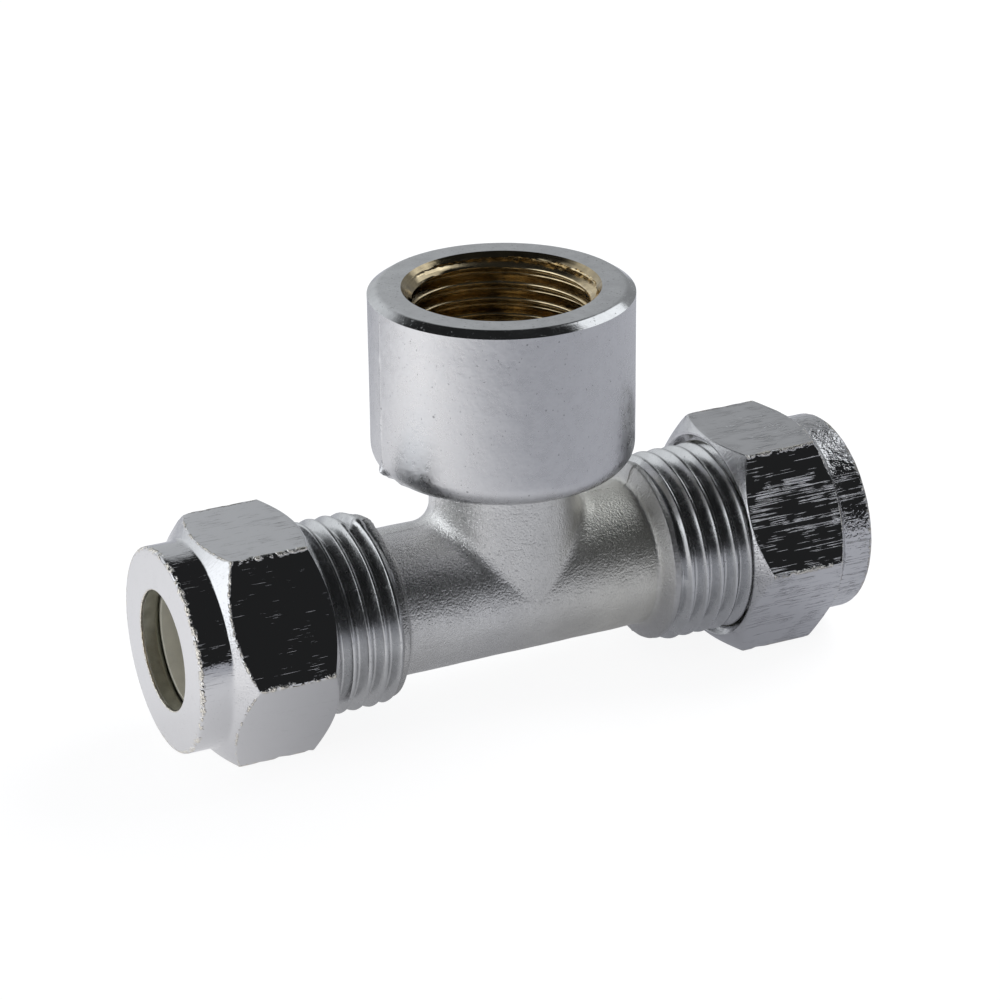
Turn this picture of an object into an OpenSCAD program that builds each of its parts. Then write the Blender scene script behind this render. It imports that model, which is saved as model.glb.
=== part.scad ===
// Compression tee for plumbing: two compression ends for tube on a straight run,
// and a branch with a female pipe thread. All sizes are in millimetres.
// X runs along the run, Z up the branch. Z = 0 is the surface that the nuts' flats rest on.

/* [Tube] */
// Outside diameter of the tube that the compression ends take
tube_d = 12.7; // [11:0.1:13.2]
// Gap all round between the tube and its socket
tube_clearance = 0.05; // [0.05:0.01:0.15]

/* [Pipe thread] */
// Major diameter of the pipe thread, on the male ends and in the branch
thread_d = 20.955; // [20.5:0.005:21.2]
// Distance from one thread crest to the next
thread_pitch = 1.8143; // [1.2:0.0001:2.2]
// Included angle of the thread's flanks in degrees
thread_angle = 55; // [50:1:62]
// Height of the thread as a share of its pitch
thread_depth_ratio = 0.6403; // [0.5:0.0001:0.66]
// Radius of the rounded crest as a share of the pitch
crest_round_ratio = 0.1373; // [0.08:0.0001:0.16]

/* [Run] */
// Length of the whole tee, from one nut's face to the other's
tee_length = 80; // [77:0.5:90]
// Outside diameter of the cast run and of the neck under the branch
run_d = 16.1; // [14.8:0.1:17]
// Diameter of the waterway through the run and the branch
waterway_d = 10.4; // [7:0.1:11.6]

/* [Male ends] */
// Length of the sloping shoulder between the run and the collar
shoulder_length = 0.9; // [0.6:0.1:3]
// Fillet at the shoulder's foot
shoulder_fillet = 0.5; // [0.1:0.1:1]
// Diameter of the plain collar behind the thread
collar_d = 20; // [18.8:0.1:20.4]
// Length of the plain collar
collar_length = 0.6; // [0.4:0.1:2]
// Length of the threaded stretch, up to the end face
thread_length = 17.2; // [15:0.1:18]
// Chamfer on the first thread at the end face
thread_chamfer = 1; // [0.4:0.1:1.3]
// Depth of the tube socket from the end face to the tube stop
socket_depth = 10.1; // [6:0.1:12]
// Diameter of the cone mouth at the end face
mouth_d = 16.4; // [15.4:0.1:17]
// Angle between the cone mouth's wall and the axis, in degrees
mouth_angle = 30; // [25:1:40]

/* [Branch] */
// Outside diameter of the branch boss
boss_d = 28.3; // [26:0.1:32]
// Height of the boss's top face above the run's axis
branch_height = 33.85; // [30:0.05:40]
// Height of the boss's own outside wall, from its underside to its top face
boss_length = 20.4; // [16:0.1:20.9]
// Rounding of the boss's lower outside edge
boss_round = 2.6; // [0.8:0.1:4]
// Chamfer across the boss's top face
boss_chamfer_width = 0.95; // [0.3:0.05:1.5]
// Chamfer down the boss's outside wall
boss_chamfer_height = 0.65; // [0.3:0.05:1.5]
// Fillet where the boss's underside meets the neck
neck_fillet = 1.2; // [0.4:0.1:2.2]
// Depth of the branch's threaded bore from the top face
branch_bore_depth = 14.5; // [10:0.1:15.5]
// How far the branch's 45 degree mouth starts outside the thread's major diameter, all round
branch_mouth_clearance = 0.1; // [0.05:0.05:0.6]

/* [Nuts] */
// Width across the flats of each nut
nut_af = 23.7; // [23.2:0.1:27]
// Length of each nut
nut_length = 15.1; // [12:0.1:16]
// Diameter of the round nose
nose_d = 22.15; // [20:0.05:22.8]
// Length of the nose, measured to where the hexagon's chamfer would meet it
nose_length = 3.6; // [2:0.1:4.5]
// Rounding of the nose's outer edge
nose_round = 0.5; // [0.1:0.05:0.9]
// Fillet between the nose and the hexagon's chamfer
nose_fillet = 0.9; // [0.2:0.1:1.2]
// Slope of the hexagon's chamfer towards the nose, from the end plane, in degrees
front_chamfer_angle = 36; // [20:1:45]
// Slope of the hexagon's chamfer towards the thread, from the end plane, in degrees
back_chamfer_angle = 36; // [20:1:45]
// Diameter at which the chamfer towards the thread starts
back_chamfer_d = 23.2; // [22.6:0.1:23.6]
// Gap all round between the tube and the hole in the nose
nut_hole_clearance = 0.1; // [0.05:0.01:0.4]
// Length of the lip round the hole in the nose
lip_length = 2; // [1:0.1:3.5]
// Angle between the nut's inner seat and the axis, in degrees
seat_angle = 45; // [35:1:55]
// Depth from the seat's foot to the end of the lip
seat_depth = 2.6; // [2.2:0.1:3.2]
// Gap all round between the nut's bore and the male thread's crests
nut_thread_clearance = 0.1; // [0.05:0.01:0.3]
// Countersink at the mouth of the nut's bore
nut_mouth_chamfer = 0.8; // [0.1:0.05:0.9]

/* [Olives] */
// Largest outside diameter of each olive
olive_d = 17.2; // [16.9:0.1:17.6]
// Length of the olive's plain band
olive_band = 1.16; // [0.4:0.02:2]
// Wall of the olive at its inner tip
olive_inner_tip = 0.35; // [0.2:0.05:0.6]
// Wall of the olive at its outer tip
olive_outer_tip = 0.47; // [0.2:0.01:0.7]
// Gap all round between the tube and the olive's bore
olive_clearance = 0.08; // [0.05:0.01:0.2]
// Gap along the axis between the olive and the two cones that squeeze it
seat_gap = 0.2; // [0.1:0.02:0.4]

/* [Hidden] */
$fn = 96;
LEFT = -1;
RIGHT = 1;
// Overlap of a cutting shape past the face that it cuts
overcut = 1;
arc_steps = 8;
crest_steps = 4;

run_r = run_d / 2;
waterway_r = waterway_d / 2;
socket_r = tube_d / 2 + tube_clearance;
nut_hole_r = tube_d / 2 + nut_hole_clearance;
olive_bore_r = tube_d / 2 + olive_clearance;
axis_height = nut_af / 2;

thread_r = thread_d / 2;
thread_depth = thread_depth_ratio * thread_pitch;
thread_root_r = thread_r - thread_depth;

// Distances from the branch's axis, worked back from the nut's face to the shoulder
nut_face = tee_length / 2;
lip_start = nut_face - lip_length;
olive_r = olive_d / 2;
olive_wide_end = lip_start - seat_gap - (olive_r - nut_hole_r) / tan(seat_angle);
olive_wide_start = olive_wide_end - olive_band;
mouth_r = mouth_d / 2;
casting_reach = olive_wide_start - seat_gap - (olive_r - mouth_r) / tan(mouth_angle);
mouth_length = (mouth_r - socket_r) / tan(mouth_angle);
tube_stop = casting_reach - socket_depth;
collar_r = collar_d / 2;
collar_end = casting_reach - thread_length;
collar_start = collar_end - collar_length;
shoulder_start = collar_start - shoulder_length;

boss_r = boss_d / 2;
boss_bottom = branch_height - boss_length;
branch_floor = branch_height - branch_bore_depth;
// The branch's bore narrows to the waterway in a 45 degree cone
branch_cone_end = branch_floor - (thread_root_r - waterway_r);
branch_mouth_r = thread_r + branch_mouth_clearance;
branch_mouth_foot = branch_height - (branch_mouth_r - thread_root_r);

olive_inner_tip_r = olive_bore_r + olive_inner_tip;
olive_outer_tip_r = olive_bore_r + olive_outer_tip;
olive_start = olive_wide_start - (olive_r - olive_inner_tip_r) / tan(mouth_angle);
olive_end = olive_wide_end + (olive_r - olive_outer_tip_r) / tan(seat_angle);

nut_back = nut_face - nut_length;
nut_bore_r = thread_r + nut_thread_clearance;
nut_bore_end = lip_start - seat_depth;
seat_r = nut_hole_r + seat_depth * tan(seat_angle);
nose_r = nose_d / 2;
hex_corner_r = nut_af / 2 / cos(30);
hex_front = nut_face - nose_length;

// Points on a round stretch from one angle to another, in degrees
function arc(centre, radius, from, to, steps = arc_steps) =
    [for (i = [0:steps])
        let (angle = from + (to - from) * i / steps)
        centre + radius * [cos(angle), sin(angle)]];

// One ring of the thread as [radius, distance along the axis], with a rounded crest
function thread_ring(middle) =
    let (
        half_angle = thread_angle / 2,
        crest_turn = 90 - half_angle,
        crest_round = crest_round_ratio * thread_pitch,
        flank_drop = thread_depth - crest_round * (1 - cos(crest_turn)),
        half_width = crest_round * sin(crest_turn) + flank_drop * tan(half_angle)
    )
    concat(
        [[thread_root_r, middle - half_width]],
        arc([thread_r - crest_round, middle], crest_round, -crest_turn, crest_turn, crest_steps),
        [[thread_root_r, middle + half_width]]
    );

// Turns a shape made up the Z axis to lie along the run, out of the given end
module along_run(side) {
    translate([0, 0, axis_height]) rotate([0, side * 90, 0]) children();
}

// Lifts a shape made about the run's axis to its height
module on_run_axis() {
    translate([0, 0, axis_height]) children();
}

// Cylinder between two distances along its own axis
module rod(radius, start, end) {
    translate([0, 0, start]) cylinder(r = radius, h = end - start);
}

// Cone between two distances along its own axis
module taper(start_r, end_r, start, end) {
    translate([0, 0, start]) cylinder(r1 = start_r, r2 = end_r, h = end - start);
}

// Rod with rings of thread from the given distance on, and plain root up to its ends
module threaded_rod(start, end, first, ring_count) {
    rings = [for (i = [0:ring_count - 1]) each thread_ring(first + (i + 0.5) * thread_pitch)];
    rotate_extrude() polygon(concat(
        [[0, start], [thread_root_r, start]],
        rings,
        [[thread_root_r, end], [0, end]]
    ));
}

// Rings of the male thread, cut back by the chamfer at the end face
module male_thread() {
    ring_count = ceil(thread_length / thread_pitch);
    rings_end = collar_end + ring_count * thread_pitch;
    chamfer_start = casting_reach - thread_chamfer;
    intersection() {
        threaded_rod(collar_end - overcut, rings_end, collar_end, ring_count);
        union() {
            rod(thread_r + overcut, collar_end - overcut, chamfer_start);
            taper(thread_r, thread_r - thread_chamfer, chamfer_start, casting_reach);
        }
    }
}

// Filleted shoulder and plain collar, from the run out to the thread
module shoulder_and_collar() {
    slope = atan2(collar_r - run_r, shoulder_length);
    fillet_start = shoulder_start - shoulder_fillet * tan(slope / 2);
    rotate_extrude() polygon(concat(
        [[0, fillet_start]],
        arc([run_r + shoulder_fillet, fillet_start], shoulder_fillet, 180, 180 - slope),
        [[collar_r, collar_start], [collar_r, collar_end], [0, collar_end]]
    ));
}

// Tube socket with its cone mouth
module tube_socket() {
    rod(socket_r, tube_stop, casting_reach + overcut);
    taper(socket_r, mouth_r + overcut * tan(mouth_angle), casting_reach - mouth_length, casting_reach + overcut);
}

// Outside of the branch: neck, fillet, and boss with its rounded and chamfered edges
module branch_outside() {
    rod(run_r, 0, boss_bottom + boss_round);
    rotate_extrude() polygon(concat(
        [[0, boss_bottom - neck_fillet]],
        arc([run_r + neck_fillet, boss_bottom - neck_fillet], neck_fillet, 180, 90),
        arc([boss_r - boss_round, boss_bottom + boss_round], boss_round, -90, 0),
        [
            [boss_r, branch_height - boss_chamfer_height],
            [boss_r - boss_chamfer_width, branch_height],
            [0, branch_height]
        ]
    ));
}

// Inside of the branch: 45 degree mouth, thread that starts at its foot, and cone down to the waterway
module branch_inside() {
    rings_end = branch_mouth_foot + thread_pitch / 2;
    ring_count = floor((rings_end - branch_floor) / thread_pitch);
    rings_start = rings_end - ring_count * thread_pitch;
    taper(thread_root_r, branch_mouth_r + overcut, branch_mouth_foot, branch_height + overcut);
    threaded_rod(branch_floor, branch_height + overcut, rings_start, ring_count);
    taper(waterway_r, thread_root_r, branch_cone_end, branch_floor);
    rod(waterway_r, 0, branch_cone_end);
}

module tee_body() {
    color("silver") difference() {
        union() {
            along_run(RIGHT) rod(run_r, -collar_start, collar_start);
            on_run_axis() branch_outside();
            for (side = [LEFT, RIGHT]) along_run(side) {
                shoulder_and_collar();
                male_thread();
            }
        }
        along_run(RIGHT) rod(waterway_r, -casting_reach, casting_reach);
        on_run_axis() branch_inside();
        for (side = [LEFT, RIGHT]) along_run(side) tube_socket();
    }
}

// Turned outline of a nut: chamfers, nose and fillet
module nut_envelope() {
    wide_r = hex_corner_r + overcut;
    back_r = back_chamfer_d / 2;
    front_run = (wide_r - nose_r) * tan(front_chamfer_angle);
    fillet_rise = nose_fillet * (1 - sin(front_chamfer_angle)) / cos(front_chamfer_angle);
    back_run = (wide_r - back_r) * tan(back_chamfer_angle);
    rotate_extrude() polygon(concat(
        [[0, nut_back], [back_r, nut_back], [wide_r, nut_back + back_run]],
        [[wide_r, hex_front - front_run]],
        arc([nose_r + nose_fillet, hex_front + fillet_rise], nose_fillet, 270 - front_chamfer_angle, 180),
        arc([nose_r - nose_round, nut_face - nose_round], nose_round, 0, 90),
        [[0, nut_face]]
    ));
}

// Inside of a nut: countersunk bore for the thread, seat for the olive, and hole
module nut_inside() {
    rod(nut_bore_r, nut_back - overcut, nut_bore_end);
    taper(nut_bore_r + nut_mouth_chamfer, nut_bore_r, nut_back, nut_back + nut_mouth_chamfer);
    taper(seat_r, nut_hole_r, nut_bore_end, lip_start);
    rod(nut_hole_r, nut_bore_end, nut_face + overcut);
}

// Compression nut, made up the Z axis with flats square to the X axis
module nut() {
    difference() {
        intersection() {
            rotate([0, 0, 30]) translate([0, 0, nut_back])
                cylinder(r = hex_corner_r, h = nut_length, $fn = 6);
            nut_envelope();
        }
        nut_inside();
    }
}

module left_nut() {
    color("gainsboro") along_run(LEFT) nut();
}

module right_nut() {
    color("gainsboro") along_run(RIGHT) nut();
}

// Olive: a ring with a long cone for the mouth and a steep cone for the nut's seat
module olive() {
    rotate_extrude() polygon([
        [olive_bore_r, olive_start],
        [olive_inner_tip_r, olive_start],
        [olive_r, olive_wide_start],
        [olive_r, olive_wide_end],
        [olive_outer_tip_r, olive_end],
        [olive_bore_r, olive_end]
    ]);
}

module left_olive() {
    color("beige") along_run(LEFT) olive();
}

module right_olive() {
    color("beige") along_run(RIGHT) olive();
}

tee_body();
left_nut();
right_nut();
left_olive();
right_olive();
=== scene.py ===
"""Compression tee: plated skins, threads and a small studio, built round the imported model."""
import math

import bmesh
import bpy
import numpy as np
from bpy.props import EnumProperty, FloatProperty, FloatVectorProperty, PointerProperty
from mathutils import Matrix, Vector, noise


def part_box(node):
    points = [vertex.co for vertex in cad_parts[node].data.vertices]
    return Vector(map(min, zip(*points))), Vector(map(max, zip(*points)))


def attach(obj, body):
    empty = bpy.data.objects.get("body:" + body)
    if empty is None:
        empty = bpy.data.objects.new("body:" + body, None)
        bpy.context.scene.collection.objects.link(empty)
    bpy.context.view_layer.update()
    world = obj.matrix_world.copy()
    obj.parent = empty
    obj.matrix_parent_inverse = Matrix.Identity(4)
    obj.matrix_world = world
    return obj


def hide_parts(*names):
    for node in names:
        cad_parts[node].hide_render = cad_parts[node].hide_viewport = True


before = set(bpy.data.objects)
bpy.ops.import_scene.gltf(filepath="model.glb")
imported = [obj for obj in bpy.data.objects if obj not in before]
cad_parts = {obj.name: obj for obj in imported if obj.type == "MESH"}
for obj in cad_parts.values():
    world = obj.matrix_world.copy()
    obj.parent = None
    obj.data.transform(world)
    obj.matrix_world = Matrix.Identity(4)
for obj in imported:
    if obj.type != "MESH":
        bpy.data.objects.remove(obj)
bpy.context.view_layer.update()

bl_info = {
    "name": "Compression Tee",
    "version": (1, 0, 0),
    "blender": (4, 5, 0),
    "location": "3D View > Sidebar > Compression Tee",
    "description": "Builds a plated compression tee with its nuts and olives",
    "category": "Add Mesh",
}

MM = 0.001
FULL_TURN = 2 * math.pi
SIDES = {"left": -1, "right": 1}

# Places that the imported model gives, in metres
TEE_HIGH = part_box("tee_body")[1]
NUT_LOW, NUT_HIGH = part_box("right_nut")
OLIVE_LOW, OLIVE_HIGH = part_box("right_olive")
AXIS_HEIGHT = (NUT_LOW.z + NUT_HIGH.z) / 2
HALF_FLATS = (NUT_HIGH.z - NUT_LOW.z) / 2
CASTING_REACH = TEE_HIGH.x
BRANCH_TOP = TEE_HIGH.z - AXIS_HEIGHT
BOSS_RADIUS = TEE_HIGH.y

# Columns of points round each turned surface, and the rounding error allowed for at a part turn's ends
COLUMNS = 144
TURN_MARGIN = 1e-6

# Distance within which points are welded, and the angle from which an edge is sharp
WELD = 0.001 * MM
SHARP_ANGLE = math.radians(40)

# Rows of points along half a pipe, across the blend between two pipes, and up the neck
PIPE_ROWS = 25
BLEND_ROWS = 10
NECK_ROWS = 8

# Extra columns beside each parting line, as shares of the usual spacing
PARTING_SHARES = (-0.5, -0.2, 0.2, 0.5)

# Columns at each of a nut's corners, as shares of half the rounded corner, and across each of its flats
CORNER_SHARES = (-1.6, -1.0, -0.5, 0.0, 0.5, 1.0, 1.6)
FLAT_COLUMNS = 21

# Points across a thread's rounded crest or root, and the most of a straight that a rounding may take
CREST_POINTS = 5
MOST_ROUNDED = 0.48

# Chatter marks round the mouth of the branch
CHATTER_MARKS = 61

# Form of the parallel pipe thread, as shares of its pitch
FLANK_ANGLE = math.radians(27.5)
CREST_ROUND = 0.1373
THREAD_DEPTH = 0.6403

# Angles and radius of the nuts' hexagon
SECTOR = math.pi / 3
HALF_SECTOR = SECTOR / 2
CORNER_RADIUS = HALF_FLATS / math.cos(HALF_SECTOR)

# Where the photograph was taken from: angles in degrees, the point it looks at in metres, and how far
# off it is in millimetres
CAMERA_AZIMUTH, CAMERA_ELEVATION, CAMERA_ROLL = -25.654, 23.954, -0.570
CAMERA_AIM = Vector((1.145, 3.234, 19.527)) * MM
CAMERA_DISTANCE = 382.58
SENSOR_WIDTH = 36


# Sizes and colours

class TeeBodySizes(bpy.types.PropertyGroup):
    """Sizes of the forged body."""
    run_radius: FloatProperty(
        name="Run radius", description="Outside radius of the run and of the neck under the branch",
        default=8.05 * MM, unit="LENGTH", precision=5)
    crotch_blend: FloatProperty(
        name="Crotch blend", description="Radius of the blend where the neck grows out of the run",
        default=2.3 * MM, unit="LENGTH", precision=5)
    waterway_radius: FloatProperty(
        name="Waterway radius", description="Radius of the waterway through the run and the branch",
        default=5.2 * MM, unit="LENGTH", precision=5)
    waterway_blend: FloatProperty(
        name="Waterway blend", description="Radius of the edge where the two waterways meet",
        default=0.3 * MM, unit="LENGTH", precision=5)
    shoulder_length: FloatProperty(
        name="Shoulder length", description="Length of the slope between the run and each collar",
        default=0.9 * MM, unit="LENGTH", precision=5)
    shoulder_foot: FloatProperty(
        name="Shoulder foot", description="Length of the blend at each shoulder's foot",
        default=0.5 * MM, unit="LENGTH", precision=5)
    collar_radius: FloatProperty(
        name="Collar radius", description="Radius of the plain collar behind each male thread",
        default=10.0 * MM, unit="LENGTH", precision=5)
    collar_length: FloatProperty(
        name="Collar length", description="Length of the plain collar",
        default=0.6 * MM, unit="LENGTH", precision=5)
    thread_length: FloatProperty(
        name="Thread length", description="Length of each male thread, up to the end face",
        default=17.2 * MM, unit="LENGTH", precision=5)
    thread_radius: FloatProperty(
        name="Thread radius", description="Major radius of the pipe thread",
        default=10.4775 * MM, unit="LENGTH", precision=5)
    thread_pitch: FloatProperty(
        name="Thread pitch", description="Distance from one thread crest to the next",
        default=1.8143 * MM, unit="LENGTH", precision=5)
    thread_chamfer: FloatProperty(
        name="Thread chamfer", description="Chamfer on the first thread at each end face",
        default=1.0 * MM, unit="LENGTH", precision=5)
    socket_radius: FloatProperty(
        name="Socket radius", description="Radius of each tube socket",
        default=6.4 * MM, unit="LENGTH", precision=5)
    socket_depth: FloatProperty(
        name="Socket depth", description="Depth from each end face to the tube stop",
        default=10.1 * MM, unit="LENGTH", precision=5)
    mouth_radius: FloatProperty(
        name="Mouth radius", description="Radius of the cone mouth at each end face",
        default=8.2 * MM, unit="LENGTH", precision=5)
    mouth_angle: FloatProperty(
        name="Mouth angle", description="Angle between the cone mouth and the axis",
        default=math.radians(30), subtype="ANGLE")
    boss_length: FloatProperty(
        name="Boss length", description="Height of the branch boss",
        default=19.9 * MM, unit="LENGTH", precision=5)
    boss_round: FloatProperty(
        name="Boss rounding", description="Rounding of the boss's lower outside edge",
        default=2.6 * MM, unit="LENGTH", precision=5)
    boss_chamfer_width: FloatProperty(
        name="Boss chamfer width", description="Chamfer across the boss's top face",
        default=0.95 * MM, unit="LENGTH", precision=5)
    boss_chamfer_height: FloatProperty(
        name="Boss chamfer height", description="Chamfer down the boss's wall",
        default=0.65 * MM, unit="LENGTH", precision=5)
    neck_fillet: FloatProperty(
        name="Neck fillet", description="Fillet where the boss's underside meets the neck",
        default=1.2 * MM, unit="LENGTH", precision=5)
    bore_depth: FloatProperty(
        name="Bore depth", description="Depth of the branch's threaded bore",
        default=14.5 * MM, unit="LENGTH", precision=5)
    mouth_clearance: FloatProperty(
        name="Mouth clearance", description="How far the branch's 45 degree mouth starts outside the thread",
        default=0.1 * MM, unit="LENGTH", precision=5)
    mouth_cone: FloatProperty(
        name="Mouth cone", description="Height of the plain cone at the branch's mouth, above the thread",
        default=0.6 * MM, unit="LENGTH", precision=5)
    mouth_chatter: FloatProperty(
        name="Mouth chatter", description="Height of the tool's chatter marks along the cone's lower edge",
        default=0.06 * MM, unit="LENGTH", precision=5)
    unevenness: FloatProperty(
        name="Unevenness", description="Depth of the waves that forging leaves in the skin",
        default=0.05 * MM, unit="LENGTH", precision=5)
    flash_height: FloatProperty(
        name="Flash height", description="Height of the line that the forging dies leave where they part",
        default=0.1 * MM, unit="LENGTH", precision=5)


class NutSizes(bpy.types.PropertyGroup):
    """Sizes of the two compression nuts."""
    nose_radius: FloatProperty(
        name="Nose radius", description="Radius of the round nose",
        default=11.075 * MM, unit="LENGTH", precision=5)
    nose_length: FloatProperty(
        name="Nose length", description="Length of the nose, to where the hexagon's chamfer would meet it",
        default=3.6 * MM, unit="LENGTH", precision=5)
    nose_round: FloatProperty(
        name="Nose rounding", description="Rounding of the nose's outer edge",
        default=0.55 * MM, unit="LENGTH", precision=5)
    nose_fillet: FloatProperty(
        name="Nose fillet", description="Fillet between the nose and the hexagon's chamfer",
        default=0.9 * MM, unit="LENGTH", precision=5)
    front_chamfer: FloatProperty(
        name="Front chamfer", description="Slope of the hexagon's chamfer towards the nose",
        default=math.radians(36), subtype="ANGLE")
    back_chamfer: FloatProperty(
        name="Back chamfer", description="Slope of the hexagon's chamfer towards the thread",
        default=math.radians(36), subtype="ANGLE")
    back_radius: FloatProperty(
        name="Back radius", description="Radius at which the chamfer towards the thread starts",
        default=11.6 * MM, unit="LENGTH", precision=5)
    corner_round: FloatProperty(
        name="Corner rounding", description="Rounding of the hexagon's six long corners",
        default=0.35 * MM, unit="LENGTH", precision=5)
    hole_radius: FloatProperty(
        name="Hole radius", description="Radius of the hole that the tube passes through",
        default=6.45 * MM, unit="LENGTH", precision=5)
    lip_length: FloatProperty(
        name="Lip length", description="Length of the lip round the hole",
        default=2.0 * MM, unit="LENGTH", precision=5)
    seat_depth: FloatProperty(
        name="Seat depth", description="Depth of the 45 degree seat behind the lip",
        default=2.6 * MM, unit="LENGTH", precision=5)
    thread_clearance: FloatProperty(
        name="Thread clearance", description="Gap all round between the nut's thread and the male thread",
        default=0.1 * MM, unit="LENGTH", precision=5)
    mouth_chamfer: FloatProperty(
        name="Mouth chamfer", description="Countersink at the mouth of the nut's thread",
        default=0.8 * MM, unit="LENGTH", precision=5)
    left_shift: FloatProperty(
        name="Left shift", description="How much further on the left nut's outside sits",
        default=0.35 * MM, unit="LENGTH", precision=5)
    back_reach: FloatProperty(
        name="Back reach", description="How much further back than the packed nut the outside reaches",
        default=0.25 * MM, unit="LENGTH", precision=5)
    unevenness: FloatProperty(
        name="Unevenness", description="Depth of the waves under the nuts' plating",
        default=0.012 * MM, unit="LENGTH", precision=5)
    rough_left: FloatProperty(
        name="Left roughness", description="Depth of the rough grain on the left nut's nose",
        default=0.004 * MM, unit="LENGTH", precision=5)
    rough_right: FloatProperty(
        name="Right roughness", description="Depth of the rough grain on the right nut's nose",
        default=0.032 * MM, unit="LENGTH", precision=5)


class OliveSizes(bpy.types.PropertyGroup):
    """Sizes of the two olives."""
    bore_radius: FloatProperty(
        name="Bore radius", description="Radius of the olive's bore",
        default=6.43 * MM, unit="LENGTH", precision=5)
    inner_tip: FloatProperty(
        name="Inner tip", description="Wall of the olive at its inner tip",
        default=0.35 * MM, unit="LENGTH", precision=5)
    outer_tip: FloatProperty(
        name="Outer tip", description="Wall of the olive at its outer tip",
        default=0.47 * MM, unit="LENGTH", precision=5)
    inner_angle: FloatProperty(
        name="Inner cone", description="Angle between the long inner cone and the axis",
        default=math.radians(30), subtype="ANGLE")
    outer_angle: FloatProperty(
        name="Outer cone", description="Angle between the outer cone and the axis",
        default=math.radians(45), subtype="ANGLE")
    edge_round: FloatProperty(
        name="Edge rounding", description="Rounding of the olive's edges",
        default=0.12 * MM, unit="LENGTH", precision=5)


class FinishColours(bpy.types.PropertyGroup):
    """Colours of the tee's finishes."""
    forged_plating: FloatVectorProperty(
        name="Forged plating", description="Plating on the skin that forging left",
        default=(0.88, 0.875, 0.865), subtype="COLOR", min=0, max=1)
    # Painted warm reflection: a yellower copy of the forged plating, blended in towards the right of the body
    forged_warm_reflection: FloatVectorProperty(
        name="Forged brass", description="Forged plating where the brass shows through it a little",
        default=(0.90, 0.885, 0.82), subtype="COLOR", min=0, max=1)
    dressed_plating: FloatVectorProperty(
        name="Dressed plating", description="Smoother plating on the boss's wall",
        default=(0.68, 0.68, 0.69), subtype="COLOR", min=0, max=1)
    turned_plating: FloatVectorProperty(
        name="Turned plating", description="Plating on the threads and turned faces",
        default=(0.68, 0.685, 0.69), subtype="COLOR", min=0, max=1)
    nut_plating: FloatVectorProperty(
        name="Nut plating", description="Bright plating on the nuts",
        default=(0.67, 0.67, 0.68), subtype="COLOR", min=0, max=1)
    # Partly worn plating and partly a painted highlight: a paler colour along the nuts' edges and round their
    # holes
    worn_plating_and_glint: FloatVectorProperty(
        name="Worn plating", description="Rubbed plating along the nuts' edges",
        default=(0.86, 0.82, 0.74), subtype="COLOR", min=0, max=1)
    hole_plating: FloatVectorProperty(
        name="Hole plating", description="Dull plating inside the nuts",
        default=(0.60, 0.60, 0.53), subtype="COLOR", min=0, max=1)
    bore_brass: FloatVectorProperty(
        name="Bore brass", description="Thinly plated brass inside the bores",
        default=(0.74, 0.61, 0.39), subtype="COLOR", min=0, max=1)
    nylon: FloatVectorProperty(
        name="Nylon", description="Cream nylon of the olives",
        default=(0.72, 0.70, 0.60), subtype="COLOR", min=0, max=1)


class StudioSettings(bpy.types.PropertyGroup):
    """Floor, surround and lamps."""
    floor_colour: FloatVectorProperty(
        name="Floor", description="Pale floor under the tee",
        default=(0.80, 0.81, 0.84), subtype="COLOR", min=0, max=1)
    near_glow: FloatVectorProperty(
        name="Near glow", description="Glow of the floor by the bright panel, seen in the plating",
        default=(1.95, 1.93, 1.92), subtype="COLOR", min=0, soft_max=2)
    far_glow: FloatVectorProperty(
        name="Far glow", description="Glow of the rest of the floor, seen in the plating",
        default=(0.42, 0.43, 0.48), subtype="COLOR", min=0, soft_max=2)
    surround_radius: FloatProperty(
        name="Surround radius", description="Radius of the studio's surround",
        default=0.8, unit="LENGTH")
    lens: FloatProperty(
        name="Lens", description="Focal length of the camera in millimetres",
        default=126.69, min=10)


# Points and profiles

def round_turns(low=0.0, high=FULL_TURN):
    """Angles round an axis, one for each column of points, closer together where the dies parted."""
    step = FULL_TURN / COLUMNS
    parting = [start + share * step for start in (0, math.pi, FULL_TURN) for share in PARTING_SHARES]
    turns = np.concatenate([np.arange(-COLUMNS // 2, COLUMNS + 1) * step, parting, -np.array(parting)])
    turns = np.unique(turns.round(9))
    return turns[(turns > low - TURN_MARGIN) & (turns < high - TURN_MARGIN)]


def about_run(side, along, radius, turn):
    """Points at a distance along the run, out from its axis, turned from the top."""
    along, radius, turn = np.broadcast_arrays(along, radius, turn)
    return np.stack(
        [side * along, -side * radius * np.sin(turn), AXIS_HEIGHT + radius * np.cos(turn)], axis=-1)


def about_branch(height, radius, turn):
    """Points at a height above the run's axis, out from the branch's axis, turned from +X."""
    height, radius, turn = np.broadcast_arrays(height, radius, turn)
    return np.stack([radius * np.cos(turn), radius * np.sin(turn), AXIS_HEIGHT + height], axis=-1)


def bent(corners, steps=4):
    """Rows of points through corners [(along, radius, rounding)], each corner rounded by its own amount.

    along and radius may be arrays with one value for each column.
    """
    places = [np.stack(np.broadcast_arrays(along, radius), axis=-1).astype(float)
              for along, radius, _ in corners]
    rows = [places[0]]
    for (_, _, rounding), before, here, after in zip(corners[1:], places, places[1:], places[2:]):
        if not rounding:
            rows.append(here)
            continue
        ends = []
        for other in (before, after):
            step = other - here
            length = np.linalg.norm(step, axis=-1, keepdims=True)
            ends.append(here + step * np.minimum(rounding / length, MOST_ROUNDED))
        for share in np.linspace(0, 1, steps + 1):
            rows.append((1 - share) ** 2 * ends[0] + 2 * share * (1 - share) * here
                        + share ** 2 * ends[1])
    rows.append(places[-1])
    return np.stack(np.broadcast_arrays(*rows), axis=-2)


def between(start, end, count):
    """Evenly spread corners from one (along, radius) to another, both ends left out."""
    shares = np.linspace(0, 1, count + 2)[1:-1]
    return [(start[0] + (end[0] - start[0]) * s, start[1] + (end[1] - start[1]) * s, 0) for s in shares]


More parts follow.
